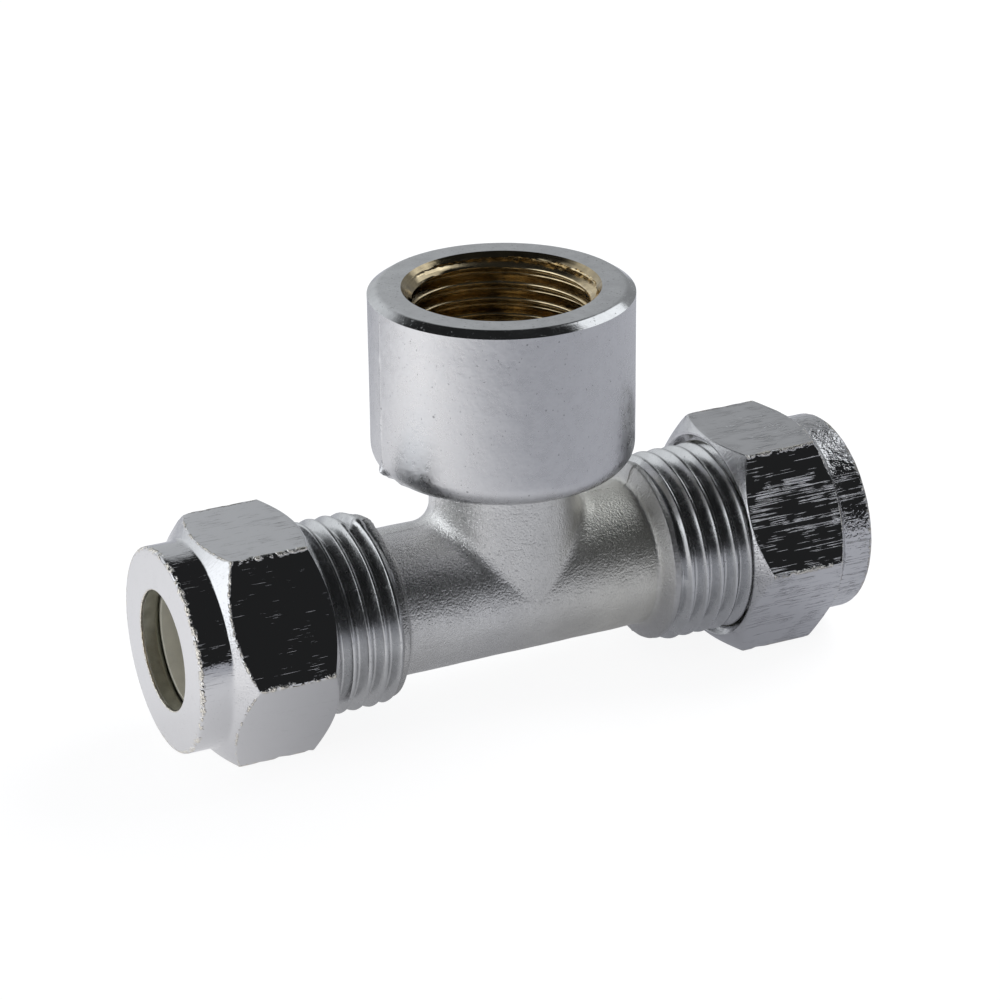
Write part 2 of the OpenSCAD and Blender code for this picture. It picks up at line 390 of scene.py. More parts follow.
def arc_corners(centre, radii, start, end, count):
    """Corners on an arc from one angle to another, in degrees, as (along, radius)."""
    angles = np.radians(np.linspace(start, end, count))
    return [(centre[0] + radii[0] * math.sin(a), centre[1] + radii[1] * math.cos(a), 0) for a in angles]


def thread_form(pitch, crest_radius, flank_points):
    """Offsets and radii of the points in one pitch: rounded crest, flank, rounded root, flank."""
    swing = np.linspace(-1, 1, CREST_POINTS) * (math.pi / 2 - FLANK_ANGLE)
    bend = CREST_ROUND * pitch
    side, drop = bend * np.sin(swing), bend * (1 - np.cos(swing))
    root_radius = crest_radius - THREAD_DEPTH * pitch
    share = np.linspace(0, 1, flank_points + 2)[1:-1]
    flank = side[-1] + (pitch / 2 - 2 * side[-1]) * share
    fall = crest_radius - drop[-1] + (root_radius + 2 * drop[-1] - crest_radius) * share
    return (np.concatenate([side, flank, pitch / 2 + side, pitch / 2 + flank]),
            np.concatenate([crest_radius - drop, fall, root_radius + drop, fall[::-1]]))


def threaded_wall(turns, low, high, pitch, crest_radius, crest_at, flank_points=0, cone=None):
    """Along and radius of a right-handed thread between two plain edges (along, radius), and its lag.

    The lag is the number of rows by which the last column joins the first one further on. cone is the
    height of a plain 45 degree cone that narrows from the high edge before the thread starts.
    """
    offsets, radii = thread_form(pitch, crest_radius, flank_points)
    first = crest_at - pitch * (math.ceil((crest_at - low[0]) / pitch) + 1)
    pitches = math.ceil((high[0] - first) / pitch) + 3
    rows = (np.arange(pitches)[:, None] * pitch + offsets).ravel()
    along = np.clip(first + turns[:, None] / FULL_TURN * pitch + rows, low[0], high[0])
    radius = np.broadcast_to(np.tile(radii, pitches), along.shape)
    for edge_along, edge_radius in (low, high):
        reach = np.abs(along - edge_along)
        radius = np.clip(radius, edge_radius - reach, edge_radius + reach)
    if cone is not None:
        reach = high[0] - along
        radius = np.minimum(radius, high[1] - np.minimum(reach, cone) + 3 * np.maximum(reach - cone, 0))
    return along, radius, len(offsets)


class Skin:
    """Sheets of points that are welded along their shared edges into one closed piece."""

    def __init__(self):
        self.points, self.faces, self.finishes = [], [], []
        self.count = 0

    def add(self, grid, finish, ring=True, lag=0):
        """Adds a grid of points [column, row, xyz], closed round the axis where it is a ring.

        finish is one number, or gives the numbers for an array of the faces' middles.
        """
        columns, rows = grid.shape[:2]
        index = self.count + np.arange(columns * rows).reshape(columns, rows)
        squares = np.stack([index[:-1, :-1], index[1:, :-1], index[1:, 1:], index[:-1, 1:]], -1)
        quads = [squares.reshape(-1, 4)]
        if ring:
            last, first = index[-1, :rows - lag], index[0, lag:]
            quads.append(np.stack([last[:-1], first[:-1], first[1:], last[1:]], -1))
        points, faces = grid.reshape(-1, 3), np.concatenate(quads)
        if callable(finish):
            finish = finish(points[faces - self.count].mean(axis=1))
        self.points.append(points)
        self.faces.append(faces)
        self.finishes.append(np.broadcast_to(finish, len(faces)))
        self.count += columns * rows

    def piece(self, name, finishes, relief):
        """The welded piece, with its finishes and with its skin moved in or out by relief(point)."""
        mesh = bpy.data.meshes.new(name)
        mesh.from_pydata(np.concatenate(self.points).tolist(), [], np.concatenate(self.faces).tolist())
        for finish in finishes:
            mesh.materials.append(finish)
        mesh.polygons.foreach_set("material_index", np.concatenate(self.finishes))
        shape = bmesh.new()
        shape.from_mesh(mesh)
        bmesh.ops.remove_doubles(shape, verts=shape.verts, dist=WELD)
        bmesh.ops.recalc_face_normals(shape, faces=shape.faces)
        shape.normal_update()
        moves = [(vert, vert.normal * relief(vert.co)) for vert in shape.verts]
        for vert, move in moves:
            vert.co += move
        shape.to_mesh(mesh)
        shape.free()
        mesh.shade_smooth()
        mesh.set_sharp_from_angle(angle=SHARP_ANGLE)
        made = bpy.data.objects.new(name, mesh)
        bpy.context.scene.collection.objects.link(made)
        return made


def waves(point, size, seed=0.0):
    """Smooth noise from -1 to 1 whose humps are about the given size."""
    return noise.noise(point / size + Vector((seed, seed, seed)))


def eased(value):
    """0 to 1, eased at both ends."""
    value = min(max(value, 0.0), 1.0)
    return value * value * (3 - 2 * value)


# Forged body

FORGED, DRESSED, THREAD, RING, BORE, MOUTH = 0, 1, 2, 3, 4, 5


def crossed_pipes(skin, radius, blend, half_run, top, finish):
    """Skin where an upright pipe grows out of a level one of the same radius."""
    quarter = math.pi / 2
    turn = np.append(round_turns(-quarter, quarter), quarter)[:, None]
    across, rise = radius * np.sin(turn), radius * np.cos(turn)
    reach = (radius + blend) * np.cos(turn)

    share = np.linspace(0, 1, PIPE_ROWS)[None, :]
    run_x = half_run + (reach - half_run) * share
    rows = [np.stack(np.broadcast_arrays(run_x, across, rise), -1)]

    share = np.linspace(0, 1, BLEND_ROWS)[None, 1:, None]
    centre = np.stack([reach, (radius + blend) * np.sin(turn), reach], -1)
    to_run = np.stack([0 * turn, -np.sin(turn), -np.cos(turn)], -1)
    to_neck = np.stack([-np.cos(turn), -np.sin(turn), 0 * turn], -1)
    open_angle = np.maximum(np.arccos(np.clip(np.sin(turn) ** 2, -1, 1)), 1e-4)[..., None]
    spoke = np.sin((1 - share) * open_angle) * to_run + np.sin(share * open_angle) * to_neck
    spoke /= np.linalg.norm(spoke, axis=-1, keepdims=True)
    rows.append(centre + blend * spoke)

    share = np.linspace(0, 1, NECK_ROWS)[None, 1:]
    neck_z = reach + (top - reach) * share
    rows.append(np.stack(np.broadcast_arrays(rise, across, neck_z), -1))
    upper = np.concatenate(rows, axis=1) + (0, 0, AXIS_HEIGHT)

    turn = np.append(round_turns(quarter, 3 * quarter), 3 * quarter)[:, None]
    x = half_run * (1 - np.linspace(0, 1, PIPE_ROWS))
    x = np.concatenate([x, -x[-2::-1]])[None, :]
    lower = np.stack(np.broadcast_arrays(
        x, radius * np.sin(turn), AXIS_HEIGHT + radius * np.cos(turn)), -1)

    skin.add(upper, finish, ring=False)
    skin.add(upper * (-1, 1, 1), finish, ring=False)
    skin.add(lower, finish, ring=False)


def male_end(skin, sizes, side):
    """One end of the run: shoulder, collar, male thread, cone mouth, tube socket and tube stop."""
    turns = round_turns()
    collar_end = CASTING_REACH - sizes.thread_length
    collar_start = collar_end - sizes.collar_length
    shoulder_start = collar_start - sizes.shoulder_length
    foot, edge = (shoulder_start, sizes.run_radius), (collar_start, sizes.collar_radius)
    outside = bent([
        (shoulder_start - sizes.shoulder_foot, sizes.run_radius, 0),
        (*foot, sizes.shoulder_foot),
        *between(foot, edge, 5)[2:4],
        (*edge, 0.15 * MM),
        *between(edge, (collar_end, sizes.collar_radius), 3)[1:],
        (collar_end, sizes.collar_radius, 0),
    ])
    skin.add(about_run(side, outside[None, :, 0], outside[None, :, 1], turns[:, None]), FORGED)

    face_radius = sizes.thread_radius - sizes.thread_chamfer
    along, radius, lag = threaded_wall(
        turns, (collar_end, sizes.collar_radius), (CASTING_REACH, face_radius),
        sizes.thread_pitch, sizes.thread_radius, collar_end + sizes.thread_pitch / 2)
    skin.add(about_run(side, along, radius, turns[:, None]), THREAD, lag=lag)

    mouth_length = (sizes.mouth_radius - sizes.socket_radius) / math.tan(sizes.mouth_angle)
    tube_stop = CASTING_REACH - sizes.socket_depth
    inside = bent([
        (CASTING_REACH, face_radius, 0),
        (CASTING_REACH, sizes.mouth_radius, 0.1 * MM),
        (CASTING_REACH - mouth_length, sizes.socket_radius, 0.2 * MM),
        (tube_stop, sizes.socket_radius, 0.1 * MM),
        (tube_stop, sizes.waterway_radius, 0),
    ])
    skin.add(about_run(side, inside[None, :, 0], inside[None, :, 1], turns[:, None]), BORE)


def branch_boss(skin, sizes, neck_top, bore_floor, bore_radius):
    """The boss on the neck: fillet, rounded edge, wall, chamfer, top face and threaded bore."""
    turns = round_turns()
    bottom = BRANCH_TOP - sizes.boss_length
    outside = bent([
        (neck_top, sizes.run_radius, 0),
        *arc_corners((neck_top, sizes.run_radius + sizes.neck_fillet),
                     (sizes.neck_fillet, sizes.neck_fillet), 180, 90, 7)[1:],
        *between((bottom, sizes.run_radius + sizes.neck_fillet), (bottom, BOSS_RADIUS - sizes.boss_round), 2),
        *arc_corners((bottom + sizes.boss_round, BOSS_RADIUS - sizes.boss_round),
                     (sizes.boss_round, sizes.boss_round), -90, 0, 13),
        *between((bottom + sizes.boss_round, BOSS_RADIUS),
                 (BRANCH_TOP - sizes.boss_chamfer_height, BOSS_RADIUS), 18),
        (BRANCH_TOP - sizes.boss_chamfer_height, BOSS_RADIUS, 0),
    ])
    skin.add(about_branch(outside[None, :, 0], outside[None, :, 1], turns[:, None]),
             lambda middles: np.where(middles[:, 2] < AXIS_HEIGHT + bottom, FORGED, DRESSED))

    mouth_radius = sizes.thread_radius + sizes.mouth_clearance
    face = bent([
        (BRANCH_TOP - sizes.boss_chamfer_height, BOSS_RADIUS, 0),
        (BRANCH_TOP, BOSS_RADIUS - sizes.boss_chamfer_width, 0.3 * MM),
        *between((BRANCH_TOP, BOSS_RADIUS - sizes.boss_chamfer_width), (BRANCH_TOP, mouth_radius), 3),
        (BRANCH_TOP, mouth_radius, 0),
    ])
    skin.add(about_branch(face[None, :, 0], face[None, :, 1], turns[:, None]), RING)

    def mouth_or_thread(middles):
        depth = AXIS_HEIGHT + BRANCH_TOP - middles[:, 2]
        on_cone = np.hypot(middles[:, 0], middles[:, 1]) < mouth_radius - depth + 0.03 * MM
        return np.where(on_cone & (depth < mouth_radius - bore_radius), MOUTH, BORE)

    chatter = sizes.mouth_chatter * np.sin(CHATTER_MARKS * turns)[:, None]
    along, radius, lag = threaded_wall(
        turns, (bore_floor, bore_radius), (BRANCH_TOP, mouth_radius), sizes.thread_pitch,
        sizes.thread_radius, bore_floor + sizes.thread_pitch / 2, 3, sizes.mouth_cone + chatter)
    skin.add(about_branch(along, radius, turns[:, None]), mouth_or_thread, lag=lag)
    cone = bent([
        (bore_floor, bore_radius, 0),
        (bore_floor - (bore_radius - sizes.waterway_radius), sizes.waterway_radius, 0),
    ])
    skin.add(about_branch(cone[None, :, 0], cone[None, :, 1], turns[:, None]), BORE)


def body_relief(sizes):
    """How far forging and trimming left the body's skin out from its true form, at a point in metres."""
    collar_end = CASTING_REACH - sizes.thread_length
    boss_bottom = BRANCH_TOP - sizes.boss_length
    boss_foot = AXIS_HEIGHT + boss_bottom
    collar_top = AXIS_HEIGHT + sizes.collar_radius
    # The middle of each burr, its reach and its greatest height
    burrs = [
        (Vector((0.7 * MM - BOSS_RADIUS, 0.1 * MM, boss_foot + 1.5 * MM)), 1.3 * MM, 0.6 * MM),
        (Vector((1.6 * MM - BOSS_RADIUS, -2.2 * MM, boss_foot + 0.9 * MM)), 1.2 * MM, 0.15 * MM),
        (Vector((-collar_end - 1.0 * MM, 0, collar_top)), 2.6 * MM, 0.35 * MM),
        (Vector((collar_end - 0.3 * MM, 0, collar_top)), 1.6 * MM, 0.2 * MM),
    ]

    def burr(point):
        height = 0.0
        for middle, reach, most in burrs:
            near = eased(1.4 * (1 - (point - middle).length / reach))
            if near:
                height += near * most * (0.6 + 0.8 * waves(point, 0.8 * MM, 3.1))
        return height

    def relief(point):
        above = point.z - AXIS_HEIGHT
        on_boss = above > boss_bottom
        out = math.hypot(point.x, point.y) if above > sizes.run_radius else math.hypot(point.y, above)
        skin = BOSS_RADIUS - 2.5 * MM if on_boss else sizes.run_radius - 0.4 * MM
        if out < skin:
            return 0.0
        if above > BRANCH_TOP - sizes.boss_chamfer_height - 0.1 * MM:
            inward = BOSS_RADIUS - out
            edge = eased((1.6 * MM - inward) / (0.8 * MM)) * eased(inward / (0.3 * MM))
            return 0.4 * sizes.unevenness * edge * min(waves(point, 1.5 * MM, 9.0), 0.0)
        if abs(point.x) > collar_end - 0.05 * MM:
            return burr(point)
        slow = waves(point, 4.0 * MM) + 0.5 * waves(point, 1.8 * MM, 7.3) - 0.9 * on_boss
        depth = sizes.unevenness * (0.35 if on_boss else 1.0)
        broken = 0.6 + 0.8 * waves(point, 2.5 * MM, 5.0)
        flash = sizes.flash_height * max(0.0, 1 - abs(point.y) / (0.16 * MM)) * max(broken, 0.0)
        return depth * slow + flash + burr(point)

    return relief


def forged_body(sizes, colours):
    """The tee's one-piece body."""
    skin = Skin()
    foot_start = (CASTING_REACH - sizes.thread_length - sizes.collar_length
                  - sizes.shoulder_length - sizes.shoulder_foot)
    neck_top = BRANCH_TOP - sizes.boss_length - sizes.neck_fillet
    bore_floor = BRANCH_TOP - sizes.bore_depth
    bore_radius = sizes.thread_radius - THREAD_DEPTH * sizes.thread_pitch
    cone_end = bore_floor - (bore_radius - sizes.waterway_radius)
    crossed_pipes(skin, sizes.run_radius, sizes.crotch_blend, foot_start, neck_top, FORGED)
    crossed_pipes(skin, sizes.waterway_radius, sizes.waterway_blend,
                  CASTING_REACH - sizes.socket_depth, cone_end, BORE)
    branch_boss(skin, sizes, neck_top, bore_floor, bore_radius)
    for side in SIDES.values():
        male_end(skin, sizes, side)
    finishes = [
        forged_plating(colours), dressed_plating(colours),
        turned_plating(colours, "X", sizes.thread_radius, (0.2, 0.3)),
        turned_plating(colours, "Z", sizes.thread_radius, (0.08, 0.18)),
        bore_brass("bore_brass", colours.bore_brass, colours.turned_plating,
                   sizes.thread_radius, (0.14, 0.28)),
        # Painted shade: a darker copy of the bore brass on the branch's mouth cone
        bore_brass("shaded_mouth_brass", tinted(colours.bore_brass, 0.55), colours.bore_brass,
                   sizes.thread_radius, (0.07, 0.16))]
    return skin.piece("plated_tee_body", finishes, body_relief(sizes))


# Nuts

PLATED, NUT_BORE = 0, 1


def nut_turns(sizes):
    """Angles round the nut, closer together at its six corners."""
    corner_half = sizes.corner_round * math.tan(HALF_SECTOR) / CORNER_RADIUS
    near = corner_half * np.array(CORNER_SHARES)
    far = np.linspace(near[-1], SECTOR - near[-1], FLAT_COLUMNS + 2)[1:-1]
    one = np.concatenate([near, far]) + HALF_SECTOR
    return np.concatenate([one + k * SECTOR for k in range(6)]) - SECTOR


def hexagon_radius(turns, corner_round):
    """Distance from the axis to the hexagon's wall, with rounded corners and flats at top and bottom."""
    from_corner = (turns % SECTOR) - HALF_SECTOR
    from_flat = HALF_SECTOR - np.abs(from_corner)
    flat = HALF_FLATS / np.cos(from_flat)
    centre = (HALF_FLATS - corner_round) / math.cos(HALF_SECTOR)
    inside = np.maximum(corner_round ** 2 - (centre * np.sin(from_corner)) ** 2, 0)
    rounded = centre * np.cos(from_corner) + np.sqrt(inside)
    tangent_at = (HALF_FLATS - corner_round) * math.tan(HALF_SECTOR)
    return np.where(HALF_FLATS * np.tan(from_flat) < tangent_at, flat, np.minimum(flat, rounded))


def nut_face(sizes, side):
    """Distance from the middle of the run to the face of a nut's nose."""
    return NUT_HIGH.x - (sizes.left_shift if side < 0 else 0.0)


def nut_skin(sizes, body, side):
    """Skin of one nut: hexagon, chamfers, nose, lip, seat and inner thread."""
    skin = Skin()
    turns = nut_turns(sizes)
    face = nut_face(sizes, side)
    back = NUT_LOW.x - sizes.back_reach - (NUT_HIGH.x - face)
    wall = hexagon_radius(turns, sizes.corner_round)
    bore_radius = body.thread_radius + sizes.thread_clearance
    back_edge = back + (wall - sizes.back_radius) * math.tan(sizes.back_chamfer)
    front_foot = face - sizes.nose_length
    front_edge = front_foot - (wall - sizes.nose_radius) * math.tan(sizes.front_chamfer)
    fillet_reach = sizes.nose_fillet * math.tan((math.pi / 2 - sizes.front_chamfer) / 2)
    rim = face - 0.4 * MM
    lip_start = NUT_HIGH.x - sizes.lip_length
    seat_end = lip_start - sizes.seat_depth
    seat_radius = sizes.hole_radius + sizes.seat_depth
    outside = bent([
        (back + sizes.mouth_chamfer, bore_radius, 0),
        (back, bore_radius + sizes.mouth_chamfer, 0.05 * MM),
        (back, sizes.back_radius, 0.08 * MM),
        (back_edge, wall, 0.12 * MM),
        *between((back_edge, wall), (front_edge, wall), 14),
        (front_edge, wall, 0.12 * MM),
        *between((front_edge, wall), (front_foot, sizes.nose_radius), 4)[:3],
        (front_foot, sizes.nose_radius, fillet_reach),
        *between((front_foot, sizes.nose_radius), (face, sizes.nose_radius), 12)[2:-2],
        (face, sizes.nose_radius, sizes.nose_round),
        *between((face, sizes.nose_radius), (face, sizes.hole_radius), 12)[2:-1],
        (face, sizes.hole_radius, 0.2 * MM),
        (rim, sizes.hole_radius, 0),
    ])
    skin.add(about_run(side, outside[..., 0], outside[..., 1], turns[:, None]), PLATED)
    inside = bent([
        (rim, sizes.hole_radius, 0),
        (lip_start, sizes.hole_radius, 0.05 * MM),
        (seat_end, seat_radius, 0),
        (seat_end, bore_radius, 0),
    ])
    skin.add(about_run(side, inside[None, :, 0], inside[None, :, 1], turns[:, None]), NUT_BORE)
    collar_end = CASTING_REACH - body.thread_length
    along, radius, lag = threaded_wall(
        turns, (back + sizes.mouth_chamfer, bore_radius), (seat_end, bore_radius),
        body.thread_pitch, bore_radius, collar_end + body.thread_pitch / 2)
    skin.add(about_run(side, along, radius, turns[:, None]), NUT_BORE, lag=lag)
    return skin


def nut_relief(sizes, side):
    """Slight waves under the nut's plating, a rougher nose and worn corners, at a point in metres."""
    slope = math.tan(sizes.front_chamfer)
    front_edge = nut_face(sizes, side) - sizes.nose_length - (CORNER_RADIUS - sizes.nose_radius) * slope
    rough = sizes.rough_right if side > 0 else sizes.rough_left

    def relief(point):
        out = math.hypot(point.y, point.z - AXIS_HEIGHT)
        along = abs(point.x)
        if out < sizes.hole_radius + 0.4 * MM or along < NUT_LOW.x + 0.3 * MM and out < sizes.nose_radius:
            return 0.0
        grainy = rough * eased((along - front_edge) / (0.8 * MM))
        at_corner = eased((out - CORNER_RADIUS + 0.5 * MM) / (0.4 * MM))
        worn = at_corner * eased(2.5 * waves(point, 1.6 * MM, 4.0) - 0.4)
        moved = sizes.unevenness * (waves(point, 3.0 * MM, 11.0 * side) - 1)
        moved += grainy * (waves(point, 0.8 * MM, 2.0) + 0.6 * waves(point, 0.4 * MM, 6.0) - 1)
        return moved - 0.12 * MM * worn

    return relief


def compression_nut(sizes, body, colours, label):
    """One compression nut."""
    side = SIDES[label]
    finishes = [nut_plating(sizes, colours, label), nut_bore(colours)]
    return nut_skin(sizes, body, side).piece(label + "_plated_nut", finishes, nut_relief(sizes, side))


# Olives

def nylon_olive(sizes, colours, label):
    """One olive: a ring with a long inner cone and a steep outer one."""
    side = SIDES[label]
    turns = round_turns()
    radius = OLIVE_HIGH.z - AXIS_HEIGHT
    start, end = OLIVE_LOW.x, OLIVE_HIGH.x
    inner_tip = sizes.bore_radius + sizes.inner_tip
    outer_tip = sizes.bore_radius + sizes.outer_tip
    wide_start = start + (radius - inner_tip) / math.tan(sizes.inner_angle)
    wide_end = end - (radius - outer_tip) / math.tan(sizes.outer_angle)
    middle = (start + end) / 2
    ring = bent([
        (middle, sizes.bore_radius, 0),
        (start, sizes.bore_radius, sizes.edge_round),
        (start, inner_tip, sizes.edge_round),
        (wide_start, radius, sizes.edge_round),
        (wide_end, radius, sizes.edge_round),
        (end, outer_tip, sizes.edge_round),
        (end, sizes.bore_radius, sizes.edge_round),
        (middle, sizes.bore_radius, 0),
    ])
    skin = Skin()
    skin.add(about_run(side, ring[None, :, 0], ring[None, :, 1], turns[:, None]), 0)
    return skin.piece(label + "_nylon_olive", [olive_nylon(colours)], lambda point: 0.0)


# Finishes

class Shading:
    """The nodes of a material or of the world."""

    def __init__(self, data):
        data.use_nodes = True
        self.data = data
        self.tree = data.node_tree

    def node(self, kind, inputs=None, **settings):
        """A new node with its settings and with its inputs {socket: number, colour or output}."""
        node = self.tree.nodes.new("ShaderNode" + kind)
        for name, value in settings.items():
            setattr(node, name, value)
        for socket, value in (inputs or {}).items():
            self.feed(node.inputs[socket], value)
        return node

    def feed(self, socket, value):
        """Gives a socket a number, a colour or another node's output."""
        if isinstance(value, bpy.types.NodeSocket):
            self.tree.links.new(value, socket)
        elif socket.type == "RGBA" and len(value) == 3:
            socket.default_value = (*value, 1)
        else:
            socket.default_value = value

    def place(self):
        """Object coordinates, in metres."""
        return self.node("TexCoord").outputs["Object"]

    def stretched(self, scale, place=None):
        """Coordinates scaled by a different amount along each axis."""
        return self.node("Mapping", {"Vector": place or self.place(), "Scale": scale}).outputs["Vector"]

    def unrolled(self, axis, radius):
        """Coordinates (round the axis, along the axis, out from it) of a turned surface about X or Z."""
        low = (0, 0, -AXIS_HEIGHT) if axis == "X" else (0, 0, 0)
        moved = self.node("Mapping", {"Vector": self.place(), "Location": low}).outputs["Vector"]
        split = self.node("SeparateXYZ", {"Vector": moved}).outputs
        side, up = (split["Y"], split["Z"]) if axis == "X" else (split["X"], split["Y"])
        turn = self.joined("MULTIPLY", self.joined("ARCTAN2", side, up), radius)
        out = self.joined("SQRT", self.joined("ADD", self.joined("MULTIPLY", side, side),
                                              self.joined("MULTIPLY", up, up)))
        return self.node("CombineXYZ", {"X": turn, "Y": split[axis], "Z": out}).outputs["Vector"]

    def speckle(self, size, detail=3.0, roughness=0.5, place=None):
        """Noise whose humps are about the given size, in metres."""
        return self.node("TexNoise", {
            "Vector": place or self.place(), "Scale": 1 / size, "Detail": detail, "Roughness": roughness,
        }).outputs["Fac"]

    def pits(self, size):
        """Distance to scattered points that lie about the given size apart."""
        return self.node("TexVoronoi", {"Vector": self.place(), "Scale": 1 / size}).outputs["Distance"]

    def spread(self, value, low, high, to_low=0.0, to_high=1.0, smooth=False):
        """Maps the range low to high of a value to another range, clamped."""
        return self.node("MapRange", {
            "Value": value, "From Min": low, "From Max": high, "To Min": to_low, "To Max": to_high,
        }, interpolation_type="SMOOTHSTEP" if smooth else "LINEAR").outputs["Result"]

    def joined(self, operation, first, second=0.0):
        """The result of a math operation on one value or two."""
        return self.node("Math", {0: first, 1: second}, operation=operation).outputs["Value"]

    def blended(self, share, first, second):
        """A colour from the first to the second, as the share goes from 0 to 1."""
        return self.node("Mix", {0: share, 6: first, 7: second}, data_type="RGBA").outputs[2]

    def shown(self, shader):
        """Makes a shader the surface of the emptied material or world."""
        kind = "OutputWorld" if isinstance(self.data, bpy.types.World) else "OutputMaterial"
        self.node(kind, {"Surface": shader})

    def background_rays(self):
        """1 for rays that show the background: the camera's, and those seen in metal or through glass."""
        rays = self.node("LightPath").outputs
        return self.joined("MAXIMUM", rays["Is Camera Ray"],
                           self.joined("MAXIMUM", rays["Is Glossy Ray"], rays["Is Transmission Ray"]))


def finished(shading, layers, **values):
    """The material, given its values and bump from layers of (height, depth in metres, strength)."""
    shader = shading.tree.nodes["Principled BSDF"]
    for socket, value in values.items():
        shading.feed(shader.inputs[socket.replace("_", " ").title()], value)
    normal = None
    for height, depth, strength in layers:
        inputs = {"Height": height, "Distance": depth, "Strength": strength}
        if normal:
            inputs["Normal"] = normal
        normal = shading.node("Bump", inputs).outputs["Normal"]
    shading.feed(shader.inputs["Normal"], normal)
    return shading.data


def tinted(colour, share):
    """A colour made darker or lighter by a share."""
    return tuple(min(channel * share, 1.0) for channel in colour)


def material_shading(name):
    """The nodes of a new material."""
    return Shading(bpy.data.materials.new(name))


def forged_plating(colours):
    """Satin plating over the grainy skin that forging left, with painted warm reflection to the right and
    painted shade on the shoulders and collars.
    """
    shading = material_shading("forged_plating")
    patches = shading.speckle(5.0 * MM, 4.0, 0.6)
    grain = shading.speckle(0.22 * MM, 2.0, 0.6)
    lumps = shading.speckle(0.6 * MM, 2.0, 0.5)
    pits = shading.spread(shading.pits(0.8 * MM), 0.05, 0.2)
    along = shading.node("SeparateXYZ", {"Vector": shading.place()}).outputs["X"]
    duller = shading.spread(along, -14 * MM, 10 * MM, 0.27, 0.36)
    # Painted warm reflection: the plating turns yellower towards the right of the body
    warm_reflection_share = shading.spread(along, -4 * MM, 10 * MM)
    base = shading.blended(warm_reflection_share, colours.forged_plating, colours.forged_warm_reflection)
    # Painted shade: darker over each shoulder's slope and on the collar beyond it
    shoulder_shade = shading.spread(shading.joined("ABSOLUTE", along), 14.4 * MM, 15.2 * MM)
    base = shading.blended(shoulder_shade, base, tinted(colours.forged_plating, 0.72))
    base = shading.blended(shading.spread(patches, 0.3, 0.7, 0.14, 0.0), base, (0, 0, 0))
    return finished(
        shading, [(grain, 0.09 * MM, 1.0), (lumps, 0.05 * MM, 0.9), (pits, 0.05 * MM, 0.5)],
        base_color=base, metallic=0.94,
        roughness=shading.joined("ADD", duller, shading.spread(grain, 0.3, 0.7, -0.05, 0.07)))


def dressed_plating(colours):
    """Smoother satin plating on the boss's wall, with a few small dark pits."""
    shading = material_shading("dressed_plating")
    patches = shading.speckle(4.0 * MM, 4.0, 0.6)
    grain = shading.speckle(0.5 * MM, 3.0, 0.6)
    marks = shading.spread(shading.speckle(0.4 * MM, 2.0, 0.7), 0.68, 0.74)
    ragged = shading.joined("ADD", shading.pits(2.0 * MM), shading.spread(grain, 0.3, 0.7, -0.03, 0.03))
    pits = shading.spread(ragged, 0.03, 0.07, 1.0, 0.0)
    base = colours.dressed_plating
    blotches = shading.speckle(1.3 * MM, 3.0, 0.6)
    pale = shading.blended(shading.spread(blotches, 0.35, 0.65), tinted(base, 0.93), tinted(base, 1.06))
    pale = shading.blended(marks, pale, tinted(base, 0.6))
    return finished(
        shading,
        [(grain, 0.02 * MM, 0.6), (marks, 0.02 * MM, 0.4), (blotches, 0.05 * MM, 0.6),
         (patches, 0.1 * MM, 0.5)],
        base_color=shading.blended(pits, pale, tinted(base, 0.5)),
        metallic=1.0, roughness=shading.spread(blotches, 0.35, 0.65, 0.24, 0.36))


def turned_plating(colours, axis, radius, roughness):
    """Bright plating over faces turned about X or Z, with fine turning marks."""
    shading = material_shading("turned_plating_" + axis.lower())
    round_it = shading.unrolled(axis, radius)
    lines = shading.speckle(0.16 * MM, 2.0, 0.6, shading.stretched((0.03, 1.0, 1.0), round_it))
    patches = shading.speckle(2.0 * MM, 3.0, 0.6)
    nicks = shading.spread(shading.speckle(0.3 * MM, 2.0, 0.6), 0.66, 0.74)
    base = colours.turned_plating
    pale = shading.blended(shading.spread(patches, 0.3, 0.7), tinted(base, 0.88), tinted(base, 1.05))
    return finished(
        shading, [(lines, 0.012 * MM, 0.6), (nicks, 0.03 * MM, 0.5), (patches, 0.04 * MM, 0.5)],
        base_color=shading.blended(nicks, pale, tinted(base, 0.7)),
        metallic=1.0, roughness=shading.spread(patches, 0.3, 0.7, *roughness))


